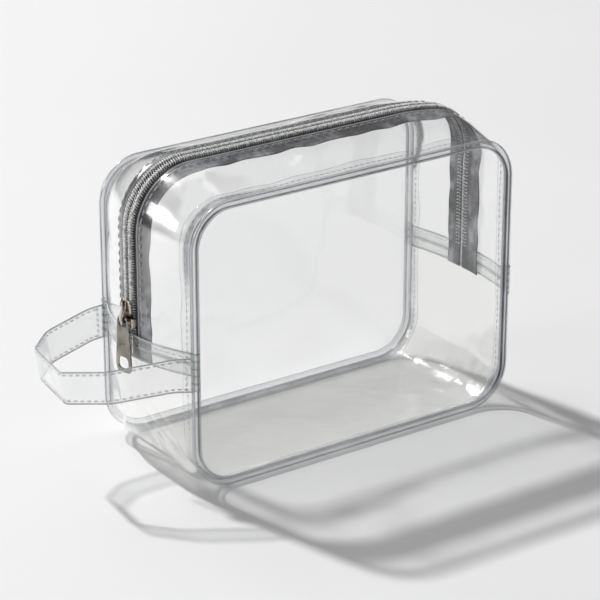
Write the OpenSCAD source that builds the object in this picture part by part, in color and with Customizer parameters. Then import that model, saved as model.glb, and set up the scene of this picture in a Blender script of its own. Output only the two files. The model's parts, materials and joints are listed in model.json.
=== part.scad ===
// Clear zip-round makeup bag: two film panels joined by a bulging gusset, round piping on both edges,
// a coil zipper along the upper gusset, and a two-layer strap on the left end.
// X runs along the front, the front faces -Y, Z is up. The origin is on the floor, under the middle of
// the bag.

/* [Bag] */
// Width of the bag over the piping
bag_w = 220; // [200:1:240]
// Height of the panels over the piping
bag_h = 168; // [150:1:185]
// Depth between the middles of the two piping beads
bag_d = 93; // [80:1:110]
// Corner radius of the panels, over the piping
corner_r = 26; // [20:1:32]
// Thickness of the clear film
film_t = 0.5; // [0.4:0.05:0.6]
// Diameter of the piping bead
piping_d = 5; // [4:0.2:5]

/* [Gusset] */
// How far the top of the gusset stands above the middle of the piping
top_bulge = 13.5; // [8:0.5:15]
// How far the left end bulges out past the middle of the piping
left_bulge = 12.5; // [8:0.5:14]
// How far the right end bulges out past the middle of the piping
right_bulge = 5; // [3:0.5:8]
// Height where the zipper half of the gusset meets the lower half
joint_z = 77; // [72:1:82]
// Width of the band over that joint
band_w = 14; // [10:1:16]

/* [Zipper] */
// Width of the open slot between the two film edges
slot_w = 15; // [14.4:0.2:17]
// Width of the front half of the zipper tape, from the middle line
tape_w = 17; // [14:0.5:19]
// Width of the back half, which is trimmed close to its stitches
back_tape_w = 12.4; // [11.6:0.2:13]
// Thickness of the tape
tape_t = 0.6; // [0.4:0.1:0.6]
// Width of both coil rows together
coil_w = 10; // [9:0.2:10.2]
// Gap between the two coil rows, for the slider's post
coil_gap = 1.6; // [1.4:0.1:1.8]
// Distance of the stitch rows from the middle line
stitch_y = 10.8; // [9.5:0.1:11]

/* [Slider] */
// Height of the slider's lower end above the floor, with the zipper closed
slider_z = 87; // [86:1:90]
// Length of the slider
slider_l = 17; // [14:1:17]
// Length of the pull tab below its pivot
tab_l = 32; // [26:1:34]
// Width of the pull tab
tab_w = 12.5; // [10:0.5:13]
// How far the hanging tab is turned towards the front
tab_yaw = 11; // [0:1:11]

/* [Strap] */
// Width of the strap
strap_w = 20; // [16:1:22]
// Height of the strap's middle line at its two ends
strap_z = 72; // [66:1:73]
// Thickness of each of its two layers
strap_t = 0.4; // [0.3:0.05:0.5]
// How far the strap droops below the level, in degrees
strap_droop = 9; // [0:1:12]

/* [Opening front] */
// Height of the line that the front half bends about when the mouth is opened
bend_z = 107; // [100:1:112]

/* [Hidden] */

$fn = 48;
gap = 0.3;                            // air between pieces that move past each other
pipe_r = piping_d / 2;
half_w = bag_w / 2 - pipe_r;          // piping centre line, from the middle of the bag
low_z = pipe_r;                       // lowest and highest points of that line
high_z = bag_h - pipe_r;
bend_r = corner_r - pipe_r;           // its corner radius
seam_y = bag_d / 2;
edge_y = seam_y - pipe_r;             // the gusset's edges, against the inner sides of the beads

// The seam line is a loop of straight and round stretches, walked in millimetres from the middle of
// the bottom: to the right, up, back along the top, down the left end and back.
flat_l = half_w - bend_r;             // half of the bottom's straight stretch
side_l = high_z - low_z - 2 * bend_r;
turn_l = bend_r * PI / 2;
right_up = flat_l + turn_l;           // where the right end's straight stretch starts
right_top = right_up + side_l;
top_start = right_top + turn_l;
top_end = top_start + 2 * flat_l;
left_top = top_end + turn_l;          // where the left end's straight stretch starts, at the top
left_down = left_top + side_l;
bottom_start = left_down + turn_l;
loop_l = bottom_start + flat_l;

// Walk positions of a given height on the right end and on the left end
function at_right(z) = right_up + z - low_z - bend_r;
function at_left(z) = left_top + high_z - bend_r - z;

// A point on a corner arc: x and z of its centre, and the angle of its outward direction
function arc(cx, cz, a) = [cx + bend_r * cos(a), cz + bend_r * sin(a), cos(a), sin(a)];

// Point of the seam line and its outward direction: [x, z, direction x, direction z]
function seam(u) =
  u < flat_l ? [u, low_z, 0, -1]
  : u < right_up ? arc(flat_l, low_z + bend_r, -90 + 90 * (u - flat_l) / turn_l)
  : u < right_top ? [half_w, low_z + bend_r + u - right_up, 1, 0]
  : u < top_start ? arc(flat_l, high_z - bend_r, 90 * (u - right_top) / turn_l)
  : u < top_end ? [flat_l - (u - top_start), high_z, 0, 1]
  : u < left_top ? arc(-flat_l, high_z - bend_r, 90 + 90 * (u - top_end) / turn_l)
  : u < left_down ? [-half_w, high_z - bend_r - (u - left_top), -1, 0]
  : u < bottom_start ? arc(-flat_l, low_z + bend_r, 180 + 90 * (u - left_down) / turn_l)
  : [-flat_l + u - bottom_start, low_z, 0, -1];

// 0 before a, 1 after b, and a soft step between them
function clamp01(t) = min(1, max(0, t));
function soft(t) = t * t * (3 - 2 * t);
function step_up(u, a, b) = soft(clamp01((u - a) / (b - a)));

// How far the gusset stands out from the seam line, halfway between the panels
floor_bulge = low_z - film_t / 2;
function bulge(u) = floor_bulge
  + (right_bulge - floor_bulge) * step_up(u, right_up - turn_l / 2, at_right(joint_z - band_w))
  + (top_bulge - right_bulge) * step_up(u, right_top - 12, top_start + 26)
  + (left_bulge - top_bulge) * step_up(u, top_end, left_top)
  + (floor_bulge - left_bulge) * step_up(u, at_left(joint_z - band_w), bottom_start);

// 1 where the gusset lies flat on the floor, 0 where it is a free curve
function flatness(u) = 1 - step_up(u, flat_l, right_up + 12)
  + step_up(u, left_down - 12, bottom_start);

// Height of the bulge across the depth: an arch on the ends and the top, a flat with short ramps below
ramp = 0.08;
function across(v, f) = (1 - f) * (1 - v * v) + f * min(1, (1 - abs(v)) / ramp);

// Point of the gusset at walk position u and depth y, raised by off along the outward direction
function gusset(u, y, off) =
  let (s = seam(u), h = bulge(u) * across(y / edge_y, flatness(u)) + off)
  [s[0] + s[2] * h, y, s[1] + s[3] * h];

// Rising list of walk positions: close together round the corners, wider on the straights
coarse = 12;
fine = 4.2;
marks = [flat_l, right_up, right_top, top_start, top_end, left_top, left_down, bottom_start];
corner = [false, true, false, true, false, true, false, true, false];
function stations(a, b) =
  let (cuts = concat([a], [for (m = marks) if (m > a + 0.01 && m < b - 0.01) m], [b]))
  [for (i = [0 : len(cuts) - 2])
    let (mid = (cuts[i] + cuts[i + 1]) / 2,
         k = len([for (m = marks) if (m < mid) m]),
         n = ceil((cuts[i + 1] - cuts[i]) / (corner[k] ? fine : coarse)))
    for (j = [0 : n - (i == len(cuts) - 2 ? 0 : 1)])
      cuts[i] + (cuts[i + 1] - cuts[i]) * j / n];

function rising(a, b, n) = [for (i = [0 : n]) a + (b - a) * i / n];

// A closed thin sheet on the gusset, between offsets lo and hi, over walk positions us and depths ys
module sheet(us, ys, lo, hi) {
  nu = len(us);
  nv = len(ys);
  pts = [for (off = [lo, hi]) for (u = us) for (y = ys) gusset(u, y, off)];
  function id(k, i, j) = k * nu * nv + i * nv + j;
  function quad(a, b, c, d) = [[a, b, c], [a, c, d]];
  inner = [for (i = [0 : nu - 2]) for (j = [0 : nv - 2])
    each quad(id(0, i, j), id(0, i, j + 1), id(0, i + 1, j + 1), id(0, i + 1, j))];
  outer = [for (i = [0 : nu - 2]) for (j = [0 : nv - 2])
    each quad(id(1, i, j), id(1, i + 1, j), id(1, i + 1, j + 1), id(1, i, j + 1))];
  sides = [for (i = [0 : nu - 2]) each concat(
    quad(id(0, i, 0), id(0, i + 1, 0), id(1, i + 1, 0), id(1, i, 0)),
    quad(id(0, i, nv - 1), id(1, i, nv - 1), id(1, i + 1, nv - 1), id(0, i + 1, nv - 1)))];
  ends = [for (j = [0 : nv - 2]) each concat(
    quad(id(0, 0, j), id(1, 0, j), id(1, 0, j + 1), id(0, 0, j + 1)),
    quad(id(0, nu - 1, j), id(0, nu - 1, j + 1), id(1, nu - 1, j + 1), id(1, nu - 1, j)))];
  polyhedron(points = pts, faces = concat(inner, outer, sides, ends));
}

// Walk positions where pieces of the gusset start and end
strip_start = at_right(joint_z) + gap;
strip_end = at_left(joint_z) - gap;
zip_start = at_right(joint_z + band_w / 2) + gap;
zip_end = at_left(joint_z + band_w / 2) - gap;
tape_start = at_right(joint_z - band_w / 2);
tape_end = at_left(joint_z - band_w / 2);
right_split = at_right(bend_z);       // the opening front starts here on the right end
left_split = left_top;                // and here on the left end, above the slider's travel

slot_y = slot_w / 2;
film_lo = -film_t / 2;
film_hi = film_t / 2;
tape_hi = film_lo - 0.15;
tape_lo = tape_hi - tape_t;
coil_lo = tape_hi + 0.1;
coil_hi = coil_lo + 1.6;
thread_w = 0.5;
thread_h = 0.25;
film_rows = 5;

// Film between the bead and the slot, side -1 for the front and 1 for the back
function film_ys(side) = side < 0 ? rising(-edge_y, -slot_y, film_rows) : rising(slot_y, edge_y, film_rows);
function tape_ys(side) = side < 0 ? [-tape_w, -shoulder_y, -coil_gap / 2]
  : [coil_gap / 2, shoulder_y, back_tape_w];
function coil_ys(side) = side < 0 ? [-coil_w / 2, -coil_gap / 2] : [coil_gap / 2, coil_w / 2];
function row_ys(side) = [side * stitch_y - thread_w / 2, side * stitch_y + thread_w / 2];

module film_strip(a, b, side) {
  color([0.86, 0.87, 0.9, 0.35]) sheet(stations(a, b), film_ys(side), film_lo, film_hi);
}
module tape_strip(a, b, side) {
  color([0.5, 0.5, 0.52]) sheet(stations(a, b), tape_ys(side), tape_lo, tape_hi);
}
module coil_row(a, b, side) {
  color([0.62, 0.62, 0.63]) sheet(stations(a, b), coil_ys(side), coil_lo, coil_hi);
}
module zip_thread(a, b, side) {
  color([0.7, 0.7, 0.7])
    sheet(stations(a, b), row_ys(side), film_hi + 0.05, film_hi + 0.05 + thread_h);
}

// ---- Panels: flat film inside the piping ----

// A rectangle with round corners, from -w/2 to w/2 and from z0 to z1
module round_rect(w, z0, z1, r) {
  translate([-w / 2 + r, z0]) square([w - 2 * r, z1 - z0]);
  translate([-w / 2, z0 + r]) square([w, z1 - z0 - 2 * r]);
  for (x = [-w / 2 + r, w / 2 - r], z = [z0 + r, z1 - r]) translate([x, z]) circle(r);
}

// Stands a flat outline up at depth y, with its thickness t spread evenly about y
module stand_at(y, t) {
  translate([0, y + t / 2, 0]) rotate([90, 0, 0]) linear_extrude(t) children();
}

module panel_outline() {
  round_rect(bag_w - 2 * piping_d, piping_d, bag_h - piping_d, corner_r - piping_d);
}

// The slab of heights between z0 and z1, as an outline
module height_band(z0, z1) {
  translate([-bag_w / 2, z0]) square([bag_w, z1 - z0]);
}

module panel(y, z0, z1) {
  color([0.88, 0.89, 0.92, 0.3]) stand_at(y, film_t) intersection() {
    panel_outline();
    height_band(z0, z1);
  }
}

module front_panel_lower() panel(-seam_y, 0, bend_z - gap / 2);
module front_panel_upper() panel(-seam_y, bend_z + gap / 2, bag_h);
module back_panel() panel(seam_y, 0, bag_h);

// ---- Piping: a round bead along the panel's edge ----

// A straight bead from point a along direction [dx, dz] for length l
module bead(x, y, z, along_x, l) {
  translate([x, y, z]) rotate([0, along_x ? 90 : 0, 0]) cylinder(r = pipe_r, h = l);
}

// A quarter turn of the bead about [cx, cz]; turn 0 is the upper right corner
module bead_corner(cx, y, cz, turn) {
  translate([cx, y, cz]) rotate([90, -turn * 90, 0])
    rotate_extrude(angle = 90) translate([bend_r, 0]) circle(pipe_r);
}

module bead_lower(y, top) {
  bead(-flat_l, y, low_z, true, 2 * flat_l);
  bead_corner(-flat_l, y, low_z + bend_r, 2);
  bead_corner(flat_l, y, low_z + bend_r, 3);
  for (x = [-half_w, half_w]) bead(x, y, low_z + bend_r, false, top - low_z - bend_r);
}
module bead_upper(y, bottom) {
  bead(-flat_l, y, high_z, true, 2 * flat_l);
  bead_corner(-flat_l, y, high_z - bend_r, 1);
  bead_corner(flat_l, y, high_z - bend_r, 0);
  for (x = [-half_w, half_w]) bead(x, y, bottom, false, high_z - bend_r - bottom);
}
piping_tint = [0.75, 0.77, 0.82, 0.6];
module front_piping_lower() color(piping_tint) bead_lower(-seam_y, bend_z - gap / 2);
module front_piping_upper() color(piping_tint) bead_upper(-seam_y, bend_z + gap / 2);
module back_piping() color(piping_tint) {
  bead_lower(seam_y, bend_z);
  bead_upper(seam_y, bend_z);
}

// ---- Gusset ----

// Walk positions from a on the left end, past the start of the loop, to b on the right end
function wrapped(a, b) = concat([for (u = stations(a, loop_l)) if (u < loop_l - 0.01) u], stations(0, b));

lower_rows = concat(
  rising(-edge_y, -edge_y * (1 - ramp), 1),
  [for (v = [-0.75, -0.5, -0.25, 0, 0.25, 0.5, 0.75]) v * edge_y],
  rising(edge_y * (1 - ramp), edge_y, 1));
module lower_gusset() color([0.86, 0.87, 0.84, 0.35])
  sheet(wrapped(at_left(joint_z), at_right(joint_z)), lower_rows, film_lo, film_hi);

module front_strip_ends() {
  film_strip(strip_start, right_split - gap / 2, -1);
  film_strip(left_split + gap / 2, strip_end, -1);
}
module front_strip_top() film_strip(right_split + gap / 2, left_split - gap / 2, -1);
module back_strip() film_strip(strip_start, strip_end, 1);

// Bands over the joint between the two halves of the gusset, from bead to bead
band_lo = film_hi + 0.1;
band_hi = band_lo + 0.8;
band_rows = rising(-edge_y, edge_y, 10);
module band(a, b) {
  color([0.88, 0.88, 0.88, 0.5]) sheet(rising(a, b, 2), band_rows, band_lo, band_hi);
}
module left_end_band() band(at_left(joint_z + band_w / 2), at_left(joint_z - band_w / 2));
module right_end_band() band(at_right(joint_z - band_w / 2), at_right(joint_z + band_w / 2));

// One stitch row near the upper edge of each band
band_row_z = joint_z + band_w / 2 - 3;
module band_row(u) {
  color([0.72, 0.72, 0.72])
    sheet([u - thread_w / 2, u + thread_w / 2], band_rows, band_hi + 0.05, band_hi + 0.05 + thread_h);
}
module left_band_thread() band_row(at_left(band_row_z));
module right_band_thread() band_row(at_right(band_row_z));

// Seam threads: one line inside each edge of the gusset, beside the bead
seam_thread_y = edge_y - 4;
seam_thread_hi = film_lo - gap;
module seam_thread(us, side) {
  color([0.75, 0.75, 0.77])
    sheet(us, [side * seam_thread_y - thread_w / 2, side * seam_thread_y + thread_w / 2],
      seam_thread_hi - thread_h, seam_thread_hi);
}
module front_seam_thread_lower()
  seam_thread(wrapped(left_split + gap / 2, right_split - gap / 2), -1);
module front_seam_thread_upper()
  seam_thread(stations(right_split + gap / 2, left_split - gap / 2), -1);
module back_seam_thread() seam_thread(stations(0, loop_l - gap), 1);

// ---- Zipper ----

module front_tape_ends() {
  tape_strip(tape_start, right_split - gap / 2, -1);
  tape_strip(left_split + gap / 2, tape_end, -1);
}
module front_tape_top() tape_strip(right_split + gap / 2, left_split - gap / 2, -1);
module back_tape() tape_strip(tape_start, tape_end, 1);
module front_coil_ends() {
  coil_row(zip_start, right_split - gap / 2, -1);
  coil_row(left_split + gap / 2, zip_end, -1);
}
module front_coil_top() coil_row(right_split + gap / 2, left_split - gap / 2, -1);
module back_coil() coil_row(zip_start, zip_end, 1);
module front_zip_thread_ends() {
  zip_thread(zip_start, right_split - gap / 2, -1);
  zip_thread(left_split + gap / 2, zip_end, -1);
}
module front_zip_thread_top() zip_thread(right_split + gap / 2, left_split - gap / 2, -1);
module back_zip_thread() zip_thread(zip_start, zip_end, 1);

// ---- Slider, on the left end, with its outer side facing -X ----

zip_x = -half_w - left_bulge;         // middle of the film where the slider runs
plate_t = 1.2;
rail_t = 1.1;
rail_y = coil_w / 2 + gap;            // the rails' inner faces
shoulder_y = rail_y + rail_t;
nose_y = coil_w / 2 + 0.7;            // half width at the narrow end
fall = left_bulge * (shoulder_y / edge_y) ^ 2;   // how far the tape curves away at the shoulders
plate_in = tape_lo - gap - fall;      // the inner plate's outer face
plate_out = coil_hi + gap;            // the outer plate's inner face
pivot_z = slider_z + 6;
pivot_off = plate_out + plate_t + 1.75;
pin_r = 0.8;
eye_r = 1.15;
eye_out = 2.5;
bail_w = 3.2;

// Extrudes an outline (first axis up, second axis along Y) outwards from offset a to offset b
module outward(a, b) {
  translate([zip_x - a, 0, 0]) rotate([0, -90, 0]) linear_extrude(b - a) children();
}

module slider_outline() {
  translate([slider_z, 0]) polygon([
    [0, -1.6], [0, -4.4], [1.6, -shoulder_y], [7, -shoulder_y], [10, -nose_y], [slider_l - 1.5, -nose_y],
    [slider_l, -nose_y + 1.5], [slider_l, nose_y - 1.5], [slider_l - 1.5, nose_y], [10, nose_y],
    [7, shoulder_y], [1.6, shoulder_y], [0, 4.4], [0, 1.6], [-1, 0]
  ]);
}

module slider_body() color([0.42, 0.4, 0.38]) {
  outward(plate_in - plate_t, plate_in) slider_outline();
  outward(plate_out, plate_out + plate_t) slider_outline();
  // post between the two plates, in the gap between the coil rows
  outward(plate_in, plate_out) translate([slider_z + 1, -coil_gap / 2 + gap])
    square([6, coil_gap - 2 * gap]);
  // rails that keep the coil rows together
  for (side = [-1, 1]) outward(film_hi, plate_out)
    translate([slider_z + 1.6, side > 0 ? rail_y : -rail_y - rail_t]) square([5.4, rail_t]);
}

// Side view of the bail: an eye for the pull tab's pin, and a crown that runs up to the plate's end
module bail_side() {
  foot = plate_out + plate_t;
  difference() {
    union() {
      translate([pivot_z, pivot_off]) circle(eye_out);
      translate([pivot_z - eye_out, foot]) square([2 * eye_out, pivot_off - foot]);
      polygon([
        [pivot_z, foot], [slider_z + slider_l - 1, foot], [slider_z + slider_l - 1, foot + 0.8],
        [slider_z + slider_l - 4, foot + 2], [pivot_z + 1, pivot_off + eye_out - 0.25],
        [pivot_z, pivot_off]
      ]);
    }
    translate([pivot_z, pivot_off]) circle(eye_r);
    translate([pivot_z - 5, foot - 5]) square([20, 5]);
  }
}
module slider_bail() color([0.5, 0.48, 0.46])
  translate([zip_x, bail_w / 2, 0]) rotate([90, -90, 0]) linear_extrude(bail_w) bail_side();

// Pull tab: a flat plate with a round pin across its top, a window round the bail and a slot below
tab_t = 1.2;
tab_top_w = 9;
window_w = 5.4;
window_l = 4.6;
slot_l = 7;
slot_in = 2.2;
module tab_outline() {
  r = 3;
  difference() {
    union() {
      polygon([
        [0, -tab_top_w / 2], [-tab_l + r, -tab_w / 2], [-tab_l, -tab_w / 2 + r],
        [-tab_l, tab_w / 2 - r], [-tab_l + r, tab_w / 2], [0, tab_top_w / 2]
      ]);
      for (side = [-1, 1]) translate([-tab_l + r, side * (tab_w / 2 - r)]) circle(r);
    }
    translate([-window_l, -window_w / 2]) square([window_l + 1, window_w]);
    translate([-tab_l + slot_in + 1, -tab_w / 2 + slot_in + 1]) square([slot_l - 2, tab_w - 2 * slot_in - 2]);
    for (z = [-tab_l + slot_in + 1, -tab_l + slot_in + slot_l - 1], side = [-1, 1])
      translate([z, side * (tab_w / 2 - slot_in - 1)]) circle(1);
    translate([-tab_l + slot_in, -tab_w / 2 + slot_in + 1]) square([slot_l, tab_w - 2 * slot_in - 2]);
    translate([-tab_l + slot_in + 1, -tab_w / 2 + slot_in]) square([slot_l - 2, tab_w - 2 * slot_in]);
  }
}
module pull_tab() color([0.58, 0.56, 0.53])
  translate([zip_x - pivot_off, 0, pivot_z]) rotate([0, 0, tab_yaw]) {
    translate([tab_t / 2, 0, 0]) rotate([0, -90, 0]) linear_extrude(tab_t) tab_outline();
    translate([0, tab_top_w / 2, 0]) rotate([90, 0, 0]) cylinder(r = pin_r, h = tab_top_w);
  }

// ---- Strap: two layers stitched along both edges, from the front bead to the back bead ----

// Corners of its middle line, seen from above before it droops, and the radius of each bend
strap_corners = [[-110.5, -46.5], [-150.5, -26], [-168, -6.5], [-163.5, 28.5], [-148.5, 41], [-110.5, 46.5]];
strap_bends = [0, 30, 4, 6, 14, 0];
swing_x = -bag_w / 2 - strap_w / 2 - 2 * gap;   // the axis that the strap swings about

function unit(v) = v / norm(v);
function turned(v) = [-v[1], v[0]];

// Middle line with its bends rounded
bend_steps = 4;
strap_line = [for (i = [0 : len(strap_corners) - 1])
  let (p = strap_corners[i], r = strap_bends[i])
  each (r == 0 ? [p] :
    let (a = unit(strap_corners[i - 1] - p), b = unit(strap_corners[i + 1] - p),
         t = r * tan(90 - acos(a * b) / 2))
    [for (k = [0 : bend_steps]) let (s = k / bend_steps)
      p + a * t * (1 - s) * (1 - s) + b * t * s * s])];

// The line moved sideways by d; positive is the outside of the loop
function moved(line, d) = [for (i = [0 : len(line) - 1])
  let (a = i == 0 ? line[1] - line[0] : line[i] - line[i - 1],
       b = i == len(line) - 1 ? a : line[i + 1] - line[i],
       m = unit(turned(unit(a)) + turned(unit(b))))
  line[i] + m * d / (m * turned(unit(a)))];

// A ribbon between sideways distances d0 and d1, over heights z0 to z1, with its ends rounded about
// the swing axis so that they stay clear of the bag, then turned down about that axis
module ribbon(d0, d1, z0, z1) {
  near = moved(strap_line, d0);
  far = moved(strap_line, d1);
  n = len(far);
  translate([swing_x, 0, strap_z]) rotate([0, -strap_droop, 0]) translate([-swing_x, 0, -strap_z])
  intersection() {
    translate([0, 0, z0]) linear_extrude(z1 - z0)
      polygon(concat(near, [for (i = [0 : n - 1]) far[n - 1 - i]]));
    union() {
      translate([swing_x - 100, -100, 0]) cube([100, 200, bag_h]);
      translate([swing_x, 100, strap_z]) rotate([90, 0, 0]) cylinder(r = strap_w / 2, h = 200);
    }
  }
}
strap_lo = strap_z - strap_w / 2;
strap_hi = strap_z + strap_w / 2;
strap_row = 1.8;                      // from the strap's edge to its stitch row
module strap_outer() color([0.87, 0.88, 0.9, 0.45]) ribbon(0.05, 0.05 + strap_t, strap_lo, strap_hi);
module strap_inner() color([0.87, 0.88, 0.9, 0.45]) ribbon(-0.05 - strap_t, -0.05, strap_lo, strap_hi);
module strap_thread() color([0.7, 0.7, 0.7])
  for (z = [strap_lo + strap_row, strap_hi - strap_row - thread_w])
    ribbon(0.1 + strap_t, 0.1 + strap_t + thread_h, z, z + thread_w);

front_panel_lower();
front_panel_upper();
back_panel();
lower_gusset();
front_strip_ends();
front_strip_top();
back_strip();
front_piping_lower();
front_piping_upper();
back_piping();
left_end_band();
right_end_band();
front_tape_ends();
front_tape_top();
back_tape();
front_coil_ends();
front_coil_top();
back_coil();
front_zip_thread_ends();
front_zip_thread_top();
back_zip_thread();
left_band_thread();
right_band_thread();
front_seam_thread_lower();
front_seam_thread_upper();
back_seam_thread();
slider_body();
slider_bail();
pull_tab();
strap_outer();
strap_inner();
strap_thread();
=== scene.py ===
import json
import math

import bmesh
import bpy
import numpy as np
from mathutils import Matrix, Vector


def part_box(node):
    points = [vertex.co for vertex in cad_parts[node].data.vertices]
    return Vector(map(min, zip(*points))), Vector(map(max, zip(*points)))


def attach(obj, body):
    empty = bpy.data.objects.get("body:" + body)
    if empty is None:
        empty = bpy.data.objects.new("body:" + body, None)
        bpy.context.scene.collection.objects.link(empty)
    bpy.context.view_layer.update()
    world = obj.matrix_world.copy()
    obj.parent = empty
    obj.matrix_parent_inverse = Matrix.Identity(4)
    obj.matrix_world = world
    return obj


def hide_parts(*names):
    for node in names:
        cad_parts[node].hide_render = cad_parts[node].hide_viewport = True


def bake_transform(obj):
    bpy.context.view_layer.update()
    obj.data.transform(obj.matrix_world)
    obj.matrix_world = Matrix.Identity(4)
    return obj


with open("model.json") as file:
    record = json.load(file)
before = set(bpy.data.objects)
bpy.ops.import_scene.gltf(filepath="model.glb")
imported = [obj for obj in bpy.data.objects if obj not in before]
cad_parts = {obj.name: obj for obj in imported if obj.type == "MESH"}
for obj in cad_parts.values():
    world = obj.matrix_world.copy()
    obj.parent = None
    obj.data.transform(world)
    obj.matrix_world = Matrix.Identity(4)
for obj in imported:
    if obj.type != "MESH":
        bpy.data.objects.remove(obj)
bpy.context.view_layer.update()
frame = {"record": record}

# Lengths below are in millimetres, and every mesh is scaled by MM as it is made.
MM = 0.001


def box_mm(node):
    """A CAD node's lowest and highest corners, in millimetres."""
    low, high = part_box(node)
    return np.array(low) / MM, np.array(high) / MM


# ---- Sizes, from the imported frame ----

FILM_T = 0.5
FILM_OFFSETS = (-FILM_T / 2, FILM_T / 2)
CORNER_R = 26.0
BAND_W = 14.0
BEAD_LOW, BEAD_HIGH = box_mm("back_piping")
STRIP_LOW, STRIP_HIGH = box_mm("back_strip")
GUSSET_HIGH = box_mm("lower_gusset")[1]
PIPE_R = (BEAD_HIGH[1] - BEAD_LOW[1]) / 2
SEAM_Y = (BEAD_HIGH[1] + BEAD_LOW[1]) / 2
EDGE_Y = SEAM_Y - PIPE_R
HALF_W = BEAD_HIGH[0] - PIPE_R
LOW_Z = BEAD_LOW[2] + PIPE_R
HIGH_Z = BEAD_HIGH[2] - PIPE_R
BEND_R = CORNER_R - PIPE_R
TOP_BULGE = STRIP_HIGH[2] - FILM_T / 2 - HIGH_Z
LEFT_BULGE = -STRIP_LOW[0] - FILM_T / 2 - HALF_W
RIGHT_BULGE = GUSSET_HIGH[0] - FILM_T / 2 - HALF_W
FLOOR_BULGE = LOW_Z - FILM_T / 2
JOINT_Z = GUSSET_HIGH[2]
SLOT_Y = STRIP_LOW[1]
FRONT_TAPE_W = -box_mm("front_tape_top")[0][1]
BACK_TAPE_W = box_mm("back_tape")[1][1]
COIL_HALF = box_mm("back_coil")[1][1]
STITCH_Y = np.mean(box_mm("back_zip_thread"), axis=0)[1]

# Walk positions along the seam line: from the middle of the bottom to the right, up, back along the
# top, down the left end and back
FLAT_L = HALF_W - BEND_R
SIDE_L = HIGH_Z - LOW_Z - 2 * BEND_R
TURN_L = BEND_R * math.pi / 2
RIGHT_UP = FLAT_L + TURN_L
RIGHT_TOP = RIGHT_UP + SIDE_L
TOP_START = RIGHT_TOP + TURN_L
TOP_END = TOP_START + 2 * FLAT_L
LEFT_TOP = TOP_END + TURN_L
LEFT_DOWN = LEFT_TOP + SIDE_L
BOTTOM_START = LEFT_DOWN + TURN_L
LOOP_L = BOTTOM_START + FLAT_L


def at_right(z):
    """Walk position at a height on the right end."""
    return RIGHT_UP + z - LOW_Z - BEND_R


def at_left(z):
    """Walk position at a height on the left end."""
    return LEFT_TOP + HIGH_Z - BEND_R - z


def seam(u):
    """Seam line at walk positions u: x, z, and the outward direction's x and z."""
    u = np.asarray(u, float) % LOOP_L
    ends = (FLAT_L, RIGHT_UP, RIGHT_TOP, TOP_START, TOP_END, LEFT_TOP, LEFT_DOWN, BOTTOM_START)
    cases = [u < end for end in ends]
    turned = np.select(cases, [
        -90, -90 + 90 * (u - FLAT_L) / TURN_L, 0, 90 * (u - RIGHT_TOP) / TURN_L, 90,
        90 + 90 * (u - TOP_END) / TURN_L, 180, 180 + 90 * (u - LEFT_DOWN) / TURN_L,
    ], 270)
    centre_x = np.select(cases, [
        u, FLAT_L, FLAT_L, FLAT_L, FLAT_L - (u - TOP_START), -FLAT_L, -FLAT_L, -FLAT_L,
    ], u - LOOP_L)
    low, high = LOW_Z + BEND_R, HIGH_Z - BEND_R
    centre_z = np.select(cases, [
        low, low, low + u - RIGHT_UP, high, high, high, high - (u - LEFT_TOP), low,
    ], low)
    cos, sin = np.cos(np.radians(turned)), np.sin(np.radians(turned))
    return centre_x + BEND_R * cos, centre_z + BEND_R * sin, cos, sin


def step_up(t, a, b):
    """0 before a, 1 after b, and a soft step between them."""
    t = np.clip((t - a) / (b - a), 0, 1)
    return t * t * (3 - 2 * t)


def bulge(u):
    """How far the gusset stands out from the seam line, halfway between the panels."""
    u = u % LOOP_L
    return (
        FLOOR_BULGE
        + (RIGHT_BULGE - FLOOR_BULGE) * step_up(u, RIGHT_UP - TURN_L / 2, at_right(JOINT_Z - BAND_W))
        + (TOP_BULGE - RIGHT_BULGE) * step_up(u, RIGHT_TOP - 12, TOP_START + 26)
        + (LEFT_BULGE - TOP_BULGE) * step_up(u, TOP_END, LEFT_TOP)
        + (FLOOR_BULGE - LEFT_BULGE) * step_up(u, at_left(JOINT_Z - BAND_W), BOTTOM_START)
    )


def flatness(u):
    """1 where the gusset lies flat on the floor, 0 where it is a free curve."""
    u = u % LOOP_L
    return 1 - step_up(u, FLAT_L, RIGHT_UP + 12) + step_up(u, LEFT_DOWN - 12, BOTTOM_START)


def ripple(u, y):
    """Small waves of the free film, none near the zipper, at the beads or at the joint bands."""
    z = seam(u)[1]
    depth = np.abs(y)
    across = step_up(depth, 19, 28) * (1 - step_up(depth, EDGE_Y - 6, EDGE_Y))
    along = step_up(np.abs(z - JOINT_Z), 10, 24) * step_up(z, LOW_Z + 2, LOW_Z + 26)
    waves = (
        np.sin(u / 17.0 + np.sign(y) * 1.3) * 0.5
        + np.sin(u / 7.3 + y / 5.0) * 0.28
        + np.sin(u / 29.0 - y / 11.0) * 0.45
    )
    return waves * across * along * 0.9


# Folds of the lower left end: each runs from a height and a depth down to the bottom corner of the
# front (-1) or of the back (1), which is at CREASE_FOOT's height and depth
CREASES = [(40, -6, -1), (31, -19, -1), (47, -14, -1), (30, 14, 1)]
CREASE_FOOT = (6.0, EDGE_Y - 1)


def crease(u, y):
    """For each fold: the distance from its line, and how strong it is there."""
    u = u % LOOP_L
    z = seam(u)[1]
    left = (u > TOP_END) * (u < BOTTOM_START + 30)
    for top_z, top_y, side in CREASES:
        run_z, run_y = CREASE_FOOT[0] - top_z, side * CREASE_FOOT[1] - top_y
        length = math.hypot(run_z, run_y)
        along = ((z - top_z) * run_z + (y - top_y) * run_y) / length ** 2
        away = side * ((y - top_y) * run_z - (z - top_z) * run_y) / length + 1.5 * np.sin(3 * along)
        yield away, left * step_up(along, -0.1, 0.35) * (1 - step_up(along, 0.85, 1.05))


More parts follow.
